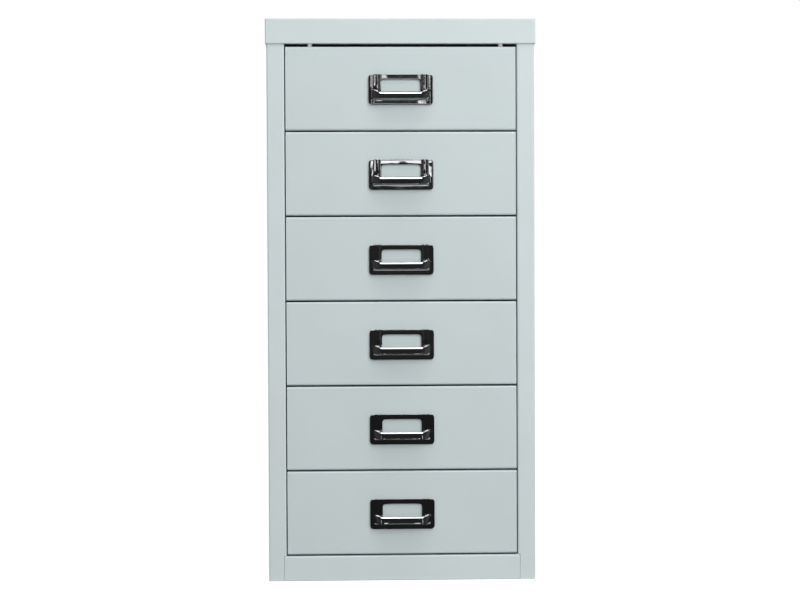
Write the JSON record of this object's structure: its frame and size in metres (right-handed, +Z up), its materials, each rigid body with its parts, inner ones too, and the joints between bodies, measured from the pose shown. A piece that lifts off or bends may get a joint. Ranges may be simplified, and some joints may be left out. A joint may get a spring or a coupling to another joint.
{
  "type": "drawer cabinet",
  "caption": "Small upright steel cabinet of shallow drawers for A4 paper, with pressed chrome pulls that each frame a card window.",
  "frame": {"origin": "on the floor, under the middle of the carcass", "axes": "+X to the right seen from the front, +Y to the back, +Z up"},
  "size_m": [0.2834, 0.3907, 0.59],
  "materials": {
    "carcass_paint": "satin",
    "front_paint": "satin",
    "tray_paint": "satin",
    "pull_chrome": "polished",
    "nylon": "matte"
  },
  "bodies": {
    "cabinet": {"left_side_panel": "carcass_paint", "right_side_panel": "carcass_paint", "back_panel": "carcass_paint", "top_cap": "carcass_paint", "base_pan": "carcass_paint", "front_plinth": "carcass_paint", "top_front_rail": "carcass_paint", "cap_buffers": "nylon", "left_runner_1": "carcass_paint", "right_runner_1": "carcass_paint", "left_runner_2": "carcass_paint", "right_runner_2": "carcass_paint", "left_runner_3": "carcass_paint", "right_runner_3": "carcass_paint", "left_runner_4": "carcass_paint", "right_runner_4": "carcass_paint", "left_runner_5": "carcass_paint", "right_runner_5": "carcass_paint", "left_runner_6": "carcass_paint", "right_runner_6": "carcass_paint", "left_runner_glides": "nylon", "right_runner_glides": "nylon"},
    "drawer_1": {"drawer_1_front": "front_paint", "drawer_1_tray": "tray_paint", "drawer_1_handle": "pull_chrome", "drawer_1_glides": "nylon"},
    "drawer_2": {"drawer_2_front": "front_paint", "drawer_2_tray": "tray_paint", "drawer_2_handle": "pull_chrome", "drawer_2_glides": "nylon"},
    "drawer_3": {"drawer_3_front": "front_paint", "drawer_3_tray": "tray_paint", "drawer_3_handle": "pull_chrome", "drawer_3_glides": "nylon"},
    "drawer_4": {"drawer_4_front": "front_paint", "drawer_4_tray": "tray_paint", "drawer_4_handle": "pull_chrome", "drawer_4_glides": "nylon"},
    "drawer_5": {"drawer_5_front": "front_paint", "drawer_5_tray": "tray_paint", "drawer_5_handle": "pull_chrome", "drawer_5_glides": "nylon"},
    "drawer_6": {"drawer_6_front": "front_paint", "drawer_6_tray": "tray_paint", "drawer_6_handle": "pull_chrome", "drawer_6_glides": "nylon"}
  },
  "joints": [
    {"name": "drawer_1_slide", "type": "slide", "parent": "cabinet", "child": "drawer_1", "axis": [0, -1, 0], "range_m": [0, 0.29]},
    {"name": "drawer_2_slide", "type": "slide", "parent": "cabinet", "child": "drawer_2", "axis": [0, -1, 0], "range_m": [0, 0.29]},
    {"name": "drawer_3_slide", "type": "slide", "parent": "cabinet", "child": "drawer_3", "axis": [0, -1, 0], "range_m": [0, 0.29]},
    {"name": "drawer_4_slide", "type": "slide", "parent": "cabinet", "child": "drawer_4", "axis": [0, -1, 0], "range_m": [0, 0.29]},
    {"name": "drawer_5_slide", "type": "slide", "parent": "cabinet", "child": "drawer_5", "axis": [0, -1, 0], "range_m": [0, 0.29]},
    {"name": "drawer_6_slide", "type": "slide", "parent": "cabinet", "child": "drawer_6", "axis": [0, -1, 0], "range_m": [0, 0.29]}
  ]
}
